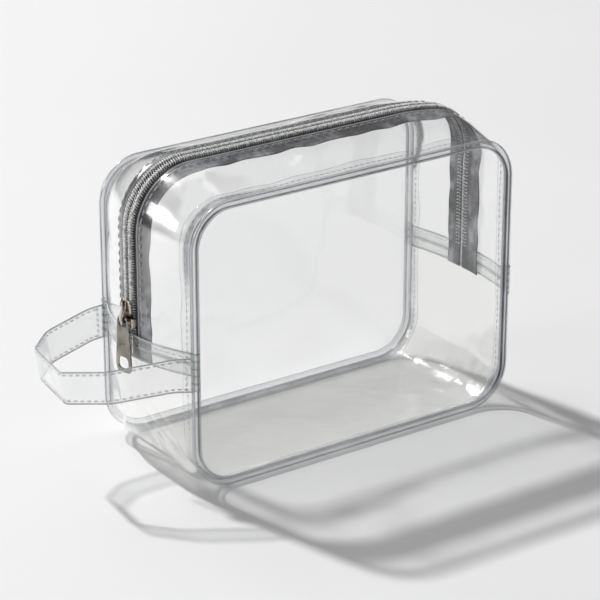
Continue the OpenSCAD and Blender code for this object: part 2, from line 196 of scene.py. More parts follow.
def tuck(u, y):
    """How far the film is drawn in along the folds."""
    depth = 0.0
    for away, strength in crease(u, y):
        ridge, valley = np.exp(-((away - 4.6) / 3.0) ** 2), np.exp(-(away / 3.0) ** 2)
        depth = depth + strength * (0.8 * ridge - 1.35 * valley)
    return depth


def gusset(u, y, off, waves=True):
    """Points of the gusset at walk positions u and depths y, raised by off along the outward direction."""
    u, y, off = np.broadcast_arrays(u, y, off)
    x, z, dx, dz = seam(u)
    flat = flatness(u)
    v = y / EDGE_Y
    across = (1 - flat) * (1 - v * v) + flat * np.minimum(1, (1 - np.abs(v)) / 0.08)
    height = bulge(u) * across + off
    if waves:
        height = height + ripple(u, y) + tuck(u, y)
    return np.stack([x + dx * height, y, z + dz * height], -1)


def walk(a, b, pitch):
    """Evenly spaced walk positions from a to b, about pitch apart."""
    return np.linspace(a, b, max(2, int(round((b - a) / pitch)) + 1))


def zip_walk(a, b, pitch, steps=(0.0,)):
    """Walk positions spaced evenly along the zipper itself, which is longer than the seam at its corners.
    Each row holds the walk positions at the given steps from one such place."""
    fine = np.linspace(a, b, 3000)
    path = gusset(fine, 0.0, 0.5, waves=False)
    run = np.concatenate([[0], np.cumsum(np.linalg.norm(np.diff(path, axis=0), axis=1))])
    places = np.linspace(0, run[-1], int(round(run[-1] / pitch)) + 1)
    return np.interp(places[:, None] + np.asarray(steps), run, fine)


def film_marks(u, y):
    """Where the film is painted dark beside the bead and along its folds, as painted shade and painted
    reflection, and where it gleams, on a grid of the gusset.
    """
    u, y = np.broadcast_arrays(u % LOOP_L, y)
    x, z, _, _ = seam(u)
    to_bead = EDGE_Y - np.abs(y)
    top_left = step_up(u, TOP_END - 45, TOP_END) * (1 - step_up(u, LEFT_TOP, LEFT_TOP + 45))
    top_right = step_up(u, RIGHT_TOP - 20, RIGHT_TOP) * (1 - step_up(u, TOP_START, TOP_START + 40))
    lower = 1 - step_up(z, 20, 45)
    back = step_up(y, 0, 10)
    # Painted shade beside the back bead, and beside both beads near the floor
    dark = 0.35 * back * np.exp(-to_bead / 2.0) + 0.25 * lower * np.exp(-to_bead / 2.5)
    # A long painted dark reflection beside the back bead at each upper corner, widest at its middle
    for start, end, reach in ((TOP_END - 62, LEFT_TOP + 52, 4.2), (RIGHT_TOP - 25, TOP_START + 30, 3.2)):
        t = np.clip((u - start) / (end - start), 0, 1)
        width = reach * np.sin(math.pi * t) ** 0.8
        middle = 2.0 + 1.2 * width + 0.8 * np.sin(u / 6.0)
        dark = dark + 1.6 * back * step_up(width - np.abs(to_bead - middle), -0.2, 0.9) * (width > 0)
    # Painted shade just beside the front bead at the upper left corner
    dark = dark + 0.5 * (1 - back) * top_left * np.exp(-((to_bead - 2.5) / 1.1) ** 2)
    gleam = (top_left + 0.5 * top_right) * np.exp(-((to_bead - 19) / 11) ** 2)
    gleam = gleam + 0.8 * lower * step_up(np.abs(x), HALF_W - 26, HALF_W - 10)
    # Along each fold: painted shade in its hollow, and a gleam beside it
    for away, strength in crease(u, y):
        dark = dark + 0.16 * strength * np.exp(-((away + 0.3) / 1.2) ** 2)
        gleam = gleam + 1.3 * strength * np.exp(-((away - 1.9) / 1.2) ** 2)
    return {"dark": dark, "gleam": gleam}


# ---- Mesh helpers ----

def new_object(name, data):
    made = bpy.data.objects.new(name, data)
    bpy.context.scene.collection.objects.link(made)
    return made


def tidy_mesh(mesh, weld=0.0):
    """Turns the normals outwards, after welding points closer than weld."""
    bm = bmesh.new()
    bm.from_mesh(mesh)
    if weld:
        bmesh.ops.remove_doubles(bm, verts=bm.verts, dist=weld)
    bmesh.ops.recalc_face_normals(bm, faces=bm.faces)
    bm.to_mesh(mesh)
    bm.free()


def give_material(piece, material):
    piece.data.materials.clear()
    piece.data.materials.append(material)


def new_piece(name, points, faces, material, marks=None):
    """A smooth mesh object from points in millimetres. marks are float attributes on its points."""
    mesh = bpy.data.meshes.new(name)
    mesh.from_pydata((points * MM).tolist(), [], faces)
    for key, values in (marks or {}).items():
        layer = mesh.attributes.new(key, "FLOAT", "POINT")
        layer.data.foreach_set("value", np.asarray(values, np.float32).ravel())
    tidy_mesh(mesh)
    mesh.polygons.foreach_set("use_smooth", [True] * len(mesh.polygons))
    piece = new_object(name, mesh)
    give_material(piece, material)
    return piece


def grid_faces(rows, columns, start=0, wrap_rows=False, wrap_columns=False):
    """Quads of a grid whose points are numbered row by row."""
    faces = []
    for i in range(rows if wrap_rows else rows - 1):
        for j in range(columns if wrap_columns else columns - 1):
            a, b = i * columns + j, i * columns + (j + 1) % columns
            c, d = ((i + 1) % rows) * columns + (j + 1) % columns, ((i + 1) % rows) * columns + j
            faces.append((start + a, start + b, start + c, start + d))
    return faces


def sheet_piece(name, grids, material, ring=False, filled=False, **marks):
    """A thin closed sheet between two grids of points, with the given marks and one for its edges. In a
    ring the last row meets the first, and a filled ring's first column is closed with a face on each side."""
    rows, columns = grids[0].shape[:2]
    count = rows * columns
    faces = grid_faces(rows, columns, 0, ring)
    faces += [f[::-1] for f in grid_faces(rows, columns, count, ring)]
    edge_columns = [columns - 1] if filled else [0, columns - 1]
    for i in range(rows if ring else rows - 1):
        n = (i + 1) % rows
        for j in edge_columns:
            a, b = i * columns + j, n * columns + j
            faces.append((a, b, b + count, a + count))
    if filled:
        faces.append([i * columns for i in range(rows)])
        faces.append([count + i * columns for i in range(rows)][::-1])
    if not ring:
        for j in range(columns - 1):
            for i in (0, rows - 1):
                a, b = i * columns + j, i * columns + j + 1
                faces.append((a, b, b + count, a + count))
    edge = np.zeros((rows, columns))
    edge[:, edge_columns] = 1
    if not ring:
        edge[[0, -1]] = 1
    both = {}
    for key, values in {"edge": edge, **marks}.items():
        both[key] = np.tile(np.broadcast_to(values, (rows, columns)).ravel(), 2)
    return new_piece(name, np.concatenate(grids).reshape(-1, 3), faces, material, both)


def tube_points(path, radius, sides, up):
    """Rings of points round a path. radius is one number or one for each point; up is each point's up."""
    along = np.gradient(path, axis=0)
    along /= np.linalg.norm(along, axis=1, keepdims=True)
    side = np.cross(along, up)
    side /= np.linalg.norm(side, axis=1, keepdims=True)
    lift = np.cross(side, along)
    turn = np.arange(sides) * 2 * math.pi / sides
    radius = np.broadcast_to(radius, len(path))[:, None, None]
    ring = side[:, None] * np.cos(turn)[:, None] + lift[:, None] * np.sin(turn)[:, None]
    return path[:, None] + ring * radius


def outward(u):
    """The gusset's outward direction at each walk position."""
    _, _, dx, dz = seam(u)
    return np.stack([dx, 0 * dx, dz], -1)


class Bundle:
    """Collects many small closed tubes into one mesh."""

    def __init__(self):
        self.points, self.faces, self.count = [], [], 0

    def tube(self, path, radius, sides, up):
        rings = tube_points(path, radius, sides, up)
        rows = len(rings)
        self.points.append(rings.reshape(-1, 3))
        self.faces += grid_faces(rows, sides, self.count, wrap_columns=True)
        first, last = self.count, self.count + (rows - 1) * sides
        self.faces.append(tuple(range(first, first + sides))[::-1])
        self.faces.append(tuple(range(last, last + sides)))
        self.count += rows * sides

    def piece(self, name, material):
        return new_piece(name, np.concatenate(self.points), self.faces, material)


# ---- Material helpers ----

def node(tree, kind, at=None, settings=None, **inputs):
    """Adds a shader node. Inputs are values or another node's output, by name or, in at, by number."""
    made = tree.nodes.new("ShaderNode" + kind)
    for key, value in (settings or {}).items():
        setattr(made, key, value)
    named = {key.replace("_", " "): value for key, value in inputs.items()}
    for key, value in {**named, **(at or {})}.items():
        if isinstance(value, bpy.types.NodeSocket):
            tree.links.new(value, made.inputs[key])
        else:
            made.inputs[key].default_value = value
    return made


def math_node(tree, operation, a, b=0.0, c=0.0, clamp=False):
    settings = {"operation": operation, "use_clamp": clamp}
    return node(tree, "Math", {0: a, 1: b, 2: c}, settings).outputs[0]


def bump_node(tree, height, strength, distance):
    return node(tree, "Bump", Height=height, Strength=strength, Distance=distance).outputs[0]


def mix_shaders(tree, share, first, second):
    return node(tree, "MixShader", {0: share, 1: first.outputs[0], 2: second.outputs[0]})


def ramp(tree, factor, stops):
    """A colour ramp through (position, grey or colour) stops."""
    made = node(tree, "ValToRGB", Fac=factor)
    elements = made.color_ramp.elements
    while len(elements) < len(stops):
        elements.new(0.5)
    for element, (position, colour) in zip(elements, stops):
        element.position = position
        element.color = (*((colour,) * 3 if isinstance(colour, float) else colour), 1)
    return made.outputs[0]


def noise(tree, scale, detail=2.0, rough=0.5, stretch=None):
    """Noise in the object's own coordinates, in features per metre, stretched along its axes."""
    place = node(tree, "TexCoord").outputs["Object"]
    if stretch:
        place = node(tree, "Mapping", Vector=place, Scale=stretch).outputs[0]
    made = node(tree, "TexNoise", Vector=place, Scale=scale, Detail=detail, Roughness=rough)
    return made.outputs["Fac"]


def attribute(tree, name):
    return node(tree, "Attribute", settings={"attribute_name": name}).outputs["Fac"]


def new_material(name):
    """An empty node material with the given name."""
    material = bpy.data.materials.new(name)
    material.use_nodes = True
    material.node_tree.nodes.clear()
    return material, material.node_tree


def finish_material(material, surface):
    tree = material.node_tree
    tree.links.new(surface.outputs[0], node(tree, "OutputMaterial").inputs["Surface"])
    return material


def slant_share(tree, bump, least=0.04):
    """The mirror share of clear plastic: a few hundredths straight on, and nearly all of it at a slant."""
    facing = node(tree, "LayerWeight", Blend=0.5, Normal=bump).outputs["Facing"]
    return math_node(tree, "MULTIPLY_ADD", math_node(tree, "POWER", facing, 5.0), 1 - least, least)


def film_material(name, tint, body, veil, gloss, edge, waves=0.15, wave_scale=30.0,
                  edge_body=(0.85, 0.87, 0.9)):
    """Clear film: see-through, with a mirror share that grows at a slant, a faint veil and brighter cut
    edges. Painted shade and painted dark reflections follow the piece's own dark marks, and gleams its gleam
    marks."""
    material, tree = new_material(name)
    height = math_node(tree, "ADD", noise(tree, wave_scale, 2.0),
                       math_node(tree, "MULTIPLY", noise(tree, wave_scale * 6, 3.0), 0.1))
    bump = bump_node(tree, height, waves, 0.004)
    share = math_node(tree, "MULTIPLY", slant_share(tree, bump), gloss, clamp=True)
    clear = node(tree, "BsdfTransparent", Color=(*tint, 1))
    mirror = node(tree, "BsdfGlossy", Color=(1, 1, 1, 1), Roughness=0.06, Normal=bump)
    film = mix_shaders(tree, share, clear, mirror)

    cloud = ramp(tree, noise(tree, 55.0, 4.0, 0.6), [(0.35, 0.5 * veil), (0.7, veil)])
    rim = math_node(tree, "MULTIPLY", attribute(tree, "edge"), edge)
    rim_mix = node(tree, "MixRGB", {0: attribute(tree, "edge"), 1: (*body, 1), 2: (*edge_body, 1)}).outputs[0]
    solid = node(tree, "BsdfPrincipled", Base_Color=rim_mix, Roughness=0.25)
    veiled = mix_shaders(tree, math_node(tree, "ADD", cloud, rim, clamp=True), film, solid)

    # Painted shade and painted dark reflection: a dark blue grey layer, broken into patches, where the dark
    # marks are
    spots = ramp(tree, noise(tree, 48.0, 3.0, 0.55), [(0.44, 0.336), (0.56, 0.736)])
    painted_shade_share = math_node(tree, "MULTIPLY", attribute(tree, "dark"), spots, clamp=True)
    painted_shade_layer = node(tree, "BsdfPrincipled", Base_Color=(0.075, 0.095, 0.12, 1), Roughness=0.2, Normal=bump)
    shaded = mix_shaders(tree, painted_shade_share, veiled, painted_shade_layer)

    flecks = ramp(tree, noise(tree, 40.0, 2.0, 0.5, (1.0, 1.0, 0.6)), [(0.47, 0.0), (0.6, 0.22)])
    shine = math_node(tree, "MULTIPLY", attribute(tree, "gleam"), flecks, clamp=True)
    white = node(tree, "BsdfGlossy", Color=(1, 1, 1, 1), Roughness=0.2, Normal=bump)
    return finish_material(material, mix_shaders(tree, shine, shaded, white))


def piping_material():
    """Clear round bead with a silvery body, and painted dark lines: painted shade where its wall turns away
    and where it meets the film.
    """
    material, tree = new_material("piping")
    fade = ramp(tree, noise(tree, 28.0, 3.0, 0.6), [(0.35, 0.72), (0.62, 1.0)])
    line = math_node(tree, "MULTIPLY", attribute(tree, "round"), fade)
    colour = ramp(tree, line, [
        (0.0, (0.90, 0.91, 0.92)), (0.35, (0.56, 0.57, 0.60)), (0.75, (0.11, 0.12, 0.145)),
        (1.0, (0.035, 0.042, 0.055)),
    ])
    bump = bump_node(tree, noise(tree, 90.0, 2.0), 0.2, 0.002)
    solid = node(tree, "BsdfPrincipled", Base_Color=colour, Metallic=0.15, Roughness=0.13, Normal=bump,
                 Coat_Weight=1.0, Coat_Roughness=0.04)
    clear = node(tree, "BsdfTransparent", Color=(0.95, 0.955, 0.96, 1))
    share = ramp(tree, line, [(0.0, 0.2), (0.3, 0.46), (0.65, 0.97)])
    return finish_material(material, mix_shaders(tree, share, clear, solid))


def tape_material():
    """Woven grey zipper tape: fine ribs along it and threads across, darker in the middle, and mottled with
    painted patches of shadow and reflection.
    """
    material, tree = new_material("zipper_tape")
    place = node(tree, "TexCoord").outputs["Object"]
    ribs = node(tree, "TexWave", {0: place}, {"wave_type": "BANDS", "bands_direction": "Y"},
                Scale=330.0, Distortion=0.6, Detail=1.0).outputs["Fac"]
    weave = math_node(tree, "MULTIPLY", ribs, noise(tree, 900.0, 1.0))
    # Painted shadow and reflection: patches from near black to mid grey
    shade = ramp(tree, noise(tree, 40.0, 4.0, 0.65), [
        (0.40, (0.022, 0.023, 0.028)), (0.50, (0.13, 0.13, 0.145)), (0.62, (0.52, 0.53, 0.56)),
    ])
    inner = math_node(tree, "MULTIPLY", attribute(tree, "inner"), 0.62)
    shade = node(tree, "MixRGB", {0: inner, 1: shade, 2: (0.045, 0.045, 0.05, 1)}).outputs[0]
    threads = ramp(tree, weave, [(0.1, 0.55), (0.6, 1.0)])
    colour = node(tree, "MixRGB", {0: 0.5, 1: shade, 2: threads}, {"blend_type": "MULTIPLY"}).outputs[0]
    bump = bump_node(tree, weave, 0.5, 0.0004)
    surface = node(tree, "BsdfPrincipled", Base_Color=colour, Roughness=0.75, Normal=bump, Sheen_Weight=0.35,
                   Sheen_Roughness=0.4)
    return finish_material(material, surface)


def coil_material():
    """Satin nylon coil, flecked from mid grey to pale grey."""
    material, tree = new_material("zipper_coil")
    shade = ramp(tree, noise(tree, 650.0, 2.0), [(0.38, (0.34, 0.34, 0.34)), (0.62, (0.84, 0.84, 0.83))])
    bump = bump_node(tree, noise(tree, 1500.0, 1.0), 0.15, 0.0002)
    surface = node(tree, "BsdfPrincipled", Base_Color=shade, Roughness=0.38, Normal=bump)
    return finish_material(material, surface)


def thread_material():
    """Twisted grey sewing thread."""
    material, tree = new_material("thread")
    twist = noise(tree, 1600.0, 2.0, 0.6)
    shade = ramp(tree, twist, [(0.35, (0.34, 0.34, 0.35)), (0.65, (0.66, 0.66, 0.68))])
    bump = bump_node(tree, twist, 0.5, 0.0002)
    surface = node(tree, "BsdfPrincipled", Base_Color=shade, Roughness=0.6, Normal=bump)
    return finish_material(material, surface)


def metal_material(name, dark, light, rough, grain, scale, spread):
    """Plated metal: colour patches of a scale, softer with a wider spread, and fine wear along a grain.
    Sharp patches from near black to pale, as on the slider, are painted reflections and highlights.
    """
    material, tree = new_material(name)
    shade = ramp(tree, noise(tree, scale, 3.0), [(0.5 - spread, dark), (0.5 + spread, light)])
    wear = noise(tree, 1400.0, 3.0, 0.7, grain)
    roughness = node(tree, "MapRange", {0: wear, 1: 0.3, 2: 0.7, 3: rough * 0.7, 4: rough * 1.5}).outputs[0]
    bump = bump_node(tree, wear, 0.12, 0.0002)
    surface = node(tree, "BsdfPrincipled", Base_Color=shade, Metallic=1.0, Roughness=roughness, Normal=bump)
    return finish_material(material, surface)


def floor_material():
    material, tree = new_material("floor")
    shade = ramp(tree, noise(tree, 3.0, 2.0), [(0.3, 0.86), (0.7, 0.88)])
    return finish_material(material, node(tree, "BsdfPrincipled", Base_Color=shade, Roughness=0.6))


FILM = film_material("clear_film", (0.990, 0.991, 0.991), (0.80, 0.83, 0.86), 0.008, 1.35, 0.75)
LOWER_FILM = film_material("lower_film", (0.988, 0.989, 0.981), (0.80, 0.83, 0.79), 0.016, 1.35, 0.5,
                           waves=0.35)
BAND_FILM = film_material("band_film", (0.95, 0.96, 0.955), (0.80, 0.82, 0.81), 0.2, 1.3, 0.8, waves=0.3,
                          wave_scale=60.0, edge_body=(0.62, 0.64, 0.66))
STRAP_FILM = film_material("strap_film", (0.985, 0.986, 0.988), (0.80, 0.81, 0.82), 0.015, 1.1, 0.55,
                           waves=0.2, wave_scale=50.0, edge_body=(0.46, 0.47, 0.49))
FLANGE_FILM = film_material("flange_film", (0.978, 0.979, 0.981), (0.80, 0.81, 0.83), 0.03, 0.8, 0.28,
                            waves=0.18, wave_scale=110.0)
PIPING = piping_material()
TAPE = tape_material()
COIL = coil_material()
THREAD = thread_material()
# The slider's sharp near black and pale patches are painted reflections and highlights
SLIDER_METAL = metal_material("slider_metal", (0.03, 0.024, 0.02), (0.62, 0.56, 0.50), 0.1,
                              grain=(1, 1, 1), scale=170.0, spread=0.05)
TAB_METAL = metal_material("tab_metal", (0.20, 0.185, 0.155), (0.40, 0.38, 0.335), 0.2,
                           grain=(1, 1, 0.05), scale=90.0, spread=0.2)


def fasten(piece, side):
    """Pieces of the front are baked into world space with no parent, and pieces of the back are attached to
    the root body.
    """
    if side < 0:
        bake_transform(piece)
    else:
        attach(piece, "root")


# ---- Panels ----

FILM_IN_BEAD = 0.15


def panel_piece(name, side, nodes):
    """Flat film inside the bead, as rings of points from the middle to the edge, with slow waves."""
    us = walk(0, LOOP_L, 2.6)[:-1]
    x, z, dx, dz = seam(us)
    inset = PIPE_R - FILM_IN_BEAD
    rim = np.stack([x - dx * inset, z - dz * inset], -1)
    middle = np.array([0.0, (LOW_Z + HIGH_Z) / 2])
    shares = np.concatenate([[0.03], np.linspace(0.1, 0.97, 34), [0.993, 1.0]])
    flat = middle + (rim - middle) * shares[:, None, None]
    px, pz = flat[..., 0], flat[..., 1]
    fade = 1 - shares[:, None] ** 6
    wave = fade * (
        0.55 * np.sin(px / 31 + pz / 47 + side) + 0.35 * np.sin(px / 13 - pz / 19)
        + 0.25 * np.sin(pz / 11 + px / 37)
    )
    grids = [
        np.stack([px, side * SEAM_Y + wave + off, pz], -1).transpose(1, 0, 2) for off in FILM_OFFSETS
    ]
    piece = sheet_piece(name, grids, FILM, ring=True, filled=True)
    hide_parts(*nodes)
    fasten(piece, side)


panel_piece("front_panel_film", -1, ["front_panel_lower", "front_panel_upper"])
panel_piece("back_panel_film", 1, ["back_panel"])


# ---- Piping: a clear bead with a flange sewn inside the gusset ----

# Painted shade lines along the bead, standing in for its dark edges and the shade where it meets the film:
# the middle and the half width of each, in degrees round it from its outward side towards the inside of the
# bag, and how dark it is
BEAD_LINES = [(16, 14, 1.3), (-34, 8, 0.7), (-146, 19, 1.35), (152, 15, 1.15)]


def piping_piece(name, side, nodes):
    """A round bead along the seam line."""
    us = walk(0, LOOP_L, 2.0)[:-1]
    x, z, dx, dz = seam(us)
    sides = 40
    turn = np.arange(sides) * 2 * math.pi / sides
    out, deep = PIPE_R * np.cos(turn), -side * PIPE_R * np.sin(turn)
    ring = np.stack([
        x[:, None] + dx[:, None] * out,
        np.broadcast_to(side * SEAM_Y + deep, (len(us), sides)),
        z[:, None] + dz[:, None] * out,
    ], -1)
    lines = 0.0
    for middle, width, dark in BEAD_LINES:
        from_line = np.angle(np.exp(1j * (turn - math.radians(middle))))
        lines = lines + dark * np.exp(-(from_line / math.radians(width)) ** 2)
    # The painted shade lines are paler at the back, and where the bead lies on the floor
    whole, floor_loss = (1, 0.5) if side < 0 else (0.68, 0.68)
    paler = whole * (1 - floor_loss * (1 - step_up(z, 6, 24)))
    around = np.clip(lines, 0, 1) * paler[:, None]
    faces = grid_faces(len(us), sides, 0, True, True)
    piece = new_piece(name, ring.reshape(-1, 3), faces, PIPING, {"round": around})
    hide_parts(*nodes)
    fasten(piece, side)


def flange_piece(name, side):
    """The seam allowance: a narrow strip of film that lies along the inside of the gusset."""
    us = walk(0, LOOP_L, 2.2)[:-1]
    free = 6.6 + 0.3 * np.sin(us / 9.0) + 0.15 * np.sin(us / 3.7 + 1)
    shares = np.array([0.0, 0.25, 0.5, 0.75, 0.93, 1.0])
    ys = side * (EDGE_Y - 0.2 - free[:, None] * shares)
    curl = 0.45 * shares ** 2 * (1 + 0.6 * np.sin(us[:, None] / 5.3))
    grids = [gusset(us[:, None], ys, off - curl) for off in (-0.52, -0.32)]
    # Painted shade on the allowance beside the bead: faint all along, and strong in its crinkles at the lower
    # corners, more at the front
    x, z, _, _ = seam(us)
    corner = (1 - step_up(z, 8, 26)) * step_up(np.abs(x), HALF_W - 24, HALF_W - 8)
    along = 0.08 + (0.8 if side < 0 else 0.35) * corner
    dark = along[:, None] * np.exp(-((shares - 0.15) / 0.25) ** 2)
    fasten(sheet_piece(name, grids, FLANGE_FILM, ring=True, dark=dark), side)


piping_piece("front_piping_bead", -1, ["front_piping_lower", "front_piping_upper"])
piping_piece("back_piping_bead", 1, ["back_piping"])
flange_piece("front_piping_flange", -1)
flange_piece("back_piping_flange", 1)


# ---- Gusset film ----

EDGE_ROWS = np.array([0.0, 0.012, 0.06])


def film_piece(name, side, us, ys, material, nodes):
    """A sheet of the gusset over walk positions us and depths ys."""
    grids = [gusset(us[:, None], ys, off) for off in FILM_OFFSETS]
    piece = sheet_piece(name, grids, material, **film_marks(us[:, None], ys))
    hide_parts(*nodes)
    fasten(piece, side)


strip_us = walk(at_right(JOINT_Z), at_left(JOINT_Z), 2.0)
share_ys = np.concatenate([EDGE_ROWS, np.linspace(0.1, 0.92, 20), 1 - EDGE_ROWS[::-1]])
strip_ys = SLOT_Y + (EDGE_Y - SLOT_Y) * share_ys
# The flat strips are wider by their arch across, and longer by the bulge's way round the corners
film_piece("front_strip_film", -1, strip_us, -strip_ys[::-1], FILM, ["front_strip_ends", "front_strip_top"])
film_piece("back_strip_film", 1, strip_us, strip_ys, FILM, ["back_strip"])

lower_us = walk(at_left(JOINT_Z), LOOP_L + at_right(JOINT_Z), 1.5)
lower_ys = np.concatenate([EDGE_ROWS, np.linspace(0.08, 0.92, 60), 1 - EDGE_ROWS[::-1]])
lower_ys = -EDGE_Y + 2 * EDGE_Y * lower_ys
film_piece("lower_gusset_film", 1, lower_us, lower_ys, LOWER_FILM, ["lower_gusset"])


# ---- Zipper ----

TAPE_OFFSETS = (-1.0, -0.4)
TAPE_START_Y = 0.85
tape_us = walk(at_right(JOINT_Z - BAND_W / 2), at_left(JOINT_Z - BAND_W / 2), 1.6)


def tape_piece(name, side, nodes):
    """Half of the zipper tape, with a slightly wavy free edge under the film."""
    shares = np.concatenate([np.linspace(0, 0.9, 12), [0.97, 1.0]])
    width = FRONT_TAPE_W if side < 0 else BACK_TAPE_W
    free = width - 0.5 + 0.3 * np.sin(tape_us / 6.1 + side) + 0.2 * np.sin(tape_us / 2.9)
    ys = side * (TAPE_START_Y + (free[:, None] - TAPE_START_Y) * shares)
    droop = 0.55 * step_up(np.abs(ys), 11.5, 17) * (1 + 0.7 * np.sin(tape_us[:, None] / 4.4))
    grids = [gusset(tape_us[:, None], ys, off - droop, waves=False) for off in TAPE_OFFSETS]
    inner = 1 - step_up(np.abs(ys), SLOT_Y - 0.8, SLOT_Y + 0.6)
    piece = sheet_piece(name, grids, TAPE, inner=inner)
    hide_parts(*nodes)
    fasten(piece, side)


COIL_PITCH, CHAIN_PITCH = 1.5, 2.1
COIL_END_Z = JOINT_Z + BAND_W / 2 + 0.5
coil_us = zip_walk(at_right(COIL_END_Z), at_left(COIL_END_Z), COIL_PITCH)[:, 0]
chain_us = zip_walk(coil_us[0], coil_us[-1], CHAIN_PITCH)[:, 0]

# One coil loop, from its outer edge over its top to the chain's middle: walk steps, depths and offsets
LOOP_LEAN = np.array([-0.52, -0.42, -0.2, 0.0, 0.2, 0.4, 0.46])
LOOP_YS = np.concatenate([COIL_HALF - np.array([0.2, 0.12, 0.8, 2.1, 3.4]), [0.56, 0.62]])
LOOP_OFFS = np.array([-0.15, 0.45, 1.0, 1.2, 1.12, 0.65, 0.05])
# The two slanted stitches of the chain stitch behind the tape: walk step and depths
CHAIN_STITCHES = [(0.35, np.array([1.2, 2.0, 2.8])), (-0.35, np.array([3.2, 4.0, 4.8]))]
CHAIN_OFF = -1.08


def coil_piece(name, side, nodes):
    """One row of coil loops on its filler cord, and the chain stitches that show behind the tape."""
    loops = Bundle()

    def add(u, steps, ys, offs, radius):
        _, _, dx, dz = seam([u])
        along = np.stack([-dz, 0 * dx, dx], -1)
        path = gusset(u + steps * side, side * ys, offs, waves=False)
        loops.tube(path, radius, 6, np.repeat(along, len(path), 0))

    for u in coil_us:
        add(u + (0.5 * COIL_PITCH if side > 0 else 0), LOOP_LEAN, LOOP_YS, LOOP_OFFS, 0.4)
    for u in chain_us:
        for lean, ys in CHAIN_STITCHES:
            add(u, lean * np.array([-1, 0, 1]), ys, CHAIN_OFF, (0.22, 0.4, 0.22))
    cord_us = walk(coil_us[0], coil_us[-1], 2.5)
    cord = gusset(cord_us, side * (COIL_HALF / 2 + 0.3), 0.42, waves=False)
    loops.tube(cord, 0.6, 8, outward(cord_us))
    piece = loops.piece(name, COIL)
    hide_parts(*nodes)
    fasten(piece, side)


tape_piece("front_zipper_tape", -1, ["front_tape_ends", "front_tape_top"])
tape_piece("back_zipper_tape", 1, ["back_tape"])
coil_piece("front_zipper_coil", -1, ["front_coil_ends", "front_coil_top"])
coil_piece("back_zipper_coil", 1, ["back_coil"])


# ---- Stitches ----

STITCH_L, STITCH_PITCH, STITCH_R = 2.5, 3.9, 0.22
ZIP_STITCH_PITCH = 5.0
STITCH_STEPS = np.array([-1, -0.75, 0, 0.75, 1]) * STITCH_L / 2
STITCH_RADII = np.array([0.25, 0.8, 1, 0.8, 0.25]) * STITCH_R
STITCH_DIPS = np.array([-0.22, 0.0, 0.06, 0.0, -0.22])
ZIP_STITCH_FAT = 1.65
SEAM_STITCH_Y = EDGE_Y - 4


def gusset_stitches(name, side, rows, y, off, nodes, into=1, fat=1.0):
    """A row of stitches along the gusset at depth y, from each one's walk positions.
    into is -1 where they lie on the inner side."""
    row = Bundle()
    for us in rows:
        path = gusset(us, side * y, off + into * STITCH_DIPS)
        row.tube(path, STITCH_RADII * fat, 6, outward(us))
    piece = row.piece(name, THREAD)
    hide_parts(*nodes)
    fasten(piece, side)


ZIP_STITCH_END_Z = JOINT_Z + BAND_W / 2 + 3
zip_us = zip_walk(at_right(ZIP_STITCH_END_Z), at_left(ZIP_STITCH_END_Z), ZIP_STITCH_PITCH, STITCH_STEPS * 1.3)
seam_us = walk(0, LOOP_L - STITCH_PITCH, STITCH_PITCH)[:, None] + STITCH_STEPS
ON_FILM, UNDER_FLANGE = FILM_T / 2 + 0.14, -0.86
gusset_stitches("front_zip_stitches", -1, zip_us, STITCH_Y, ON_FILM,
                ["front_zip_thread_ends", "front_zip_thread_top"], fat=ZIP_STITCH_FAT)
gusset_stitches("back_zip_stitches", 1, zip_us, STITCH_Y, ON_FILM, ["back_zip_thread"], fat=ZIP_STITCH_FAT)
gusset_stitches("front_seam_stitches", -1, seam_us, SEAM_STITCH_Y, UNDER_FLANGE,
                ["front_seam_thread_lower", "front_seam_thread_upper"], into=-1)
gusset_stitches("back_seam_stitches", 1, seam_us, SEAM_STITCH_Y, UNDER_FLANGE, ["back_seam_thread"], into=-1)


# ---- Bands over the joint ----

def band_piece(name, u_low, u_high, node_name):
    """A folded band of film across the gusset: thicker at its two folded edges."""
    shares = np.array([0, 0.03, 0.1, 0.2, 0.35, 0.5, 0.65, 0.8, 0.9, 0.97, 1.0])[:, None]
    us = u_low + (u_high - u_low) * shares
    ys = np.linspace(-EDGE_Y, EDGE_Y, 60)[None]
    fold = 0.22 * np.exp(-((shares - 0.06) / 0.06) ** 2) + 0.22 * np.exp(-((shares - 0.94) / 0.06) ** 2)
    round_in = 0.3 * (np.exp(-(shares / 0.02) ** 2) + np.exp(-((1 - shares) / 0.02) ** 2))
    sway = 0.12 * np.sin(ys / 6.0) * np.sin(math.pi * shares)
    grids = [gusset(us, ys, 0.38 + round_in), gusset(us, ys, 1.0 + sway + fold - round_in)]
    piece = sheet_piece(name, grids, BAND_FILM, edge=np.abs(shares - 0.5) > 0.46)
    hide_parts(node_name)
    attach(piece, "root")


ON_BAND = 1.12


def band_stitches(name, u, node_name):
    """Stitches across the gusset, on the band."""
    row = Bundle()
    for y in np.arange(-EDGE_Y + 2.5, EDGE_Y - 2, STITCH_PITCH):
        path = gusset(u, y + STITCH_STEPS, ON_BAND + STITCH_DIPS)
        row.tube(path, STITCH_RADII, 6, outward(np.full(len(path), u)))
    piece = row.piece(name, THREAD)
    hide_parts(node_name)
    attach(piece, "root")


def band_wrap(name, u_middle, side, half, folds):
    """The end of a band, half a width each way from its middle, folded over a bead in pleats."""
    shares = np.linspace(-1, 1, 41)[:, None]
    turn = np.radians(np.linspace(-112, 62, 26))[None]
    x, z, dx, dz = seam(u_middle + half * shares)
    pleat = 0.16 * np.abs(np.sin(folds * math.pi * (shares + 1) / 2)) ** 0.5 * np.cos(turn * 0.5)
    grids = []
    for radius in (PIPE_R + 0.06 + 0 * pleat, PIPE_R + 0.34 + pleat):
        out, deep = radius * np.cos(turn), -side * radius * np.sin(turn)
        grids.append(np.stack([x + dx * out, side * SEAM_Y + deep, z + dz * out], -1))
    # Painted shade in the hollow of each pleat
    line = 0.8 * np.abs(np.cos(folds * math.pi * (shares + 1) / 2)) ** 14
    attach(sheet_piece(name, grids, BAND_FILM, dark=line), "root")


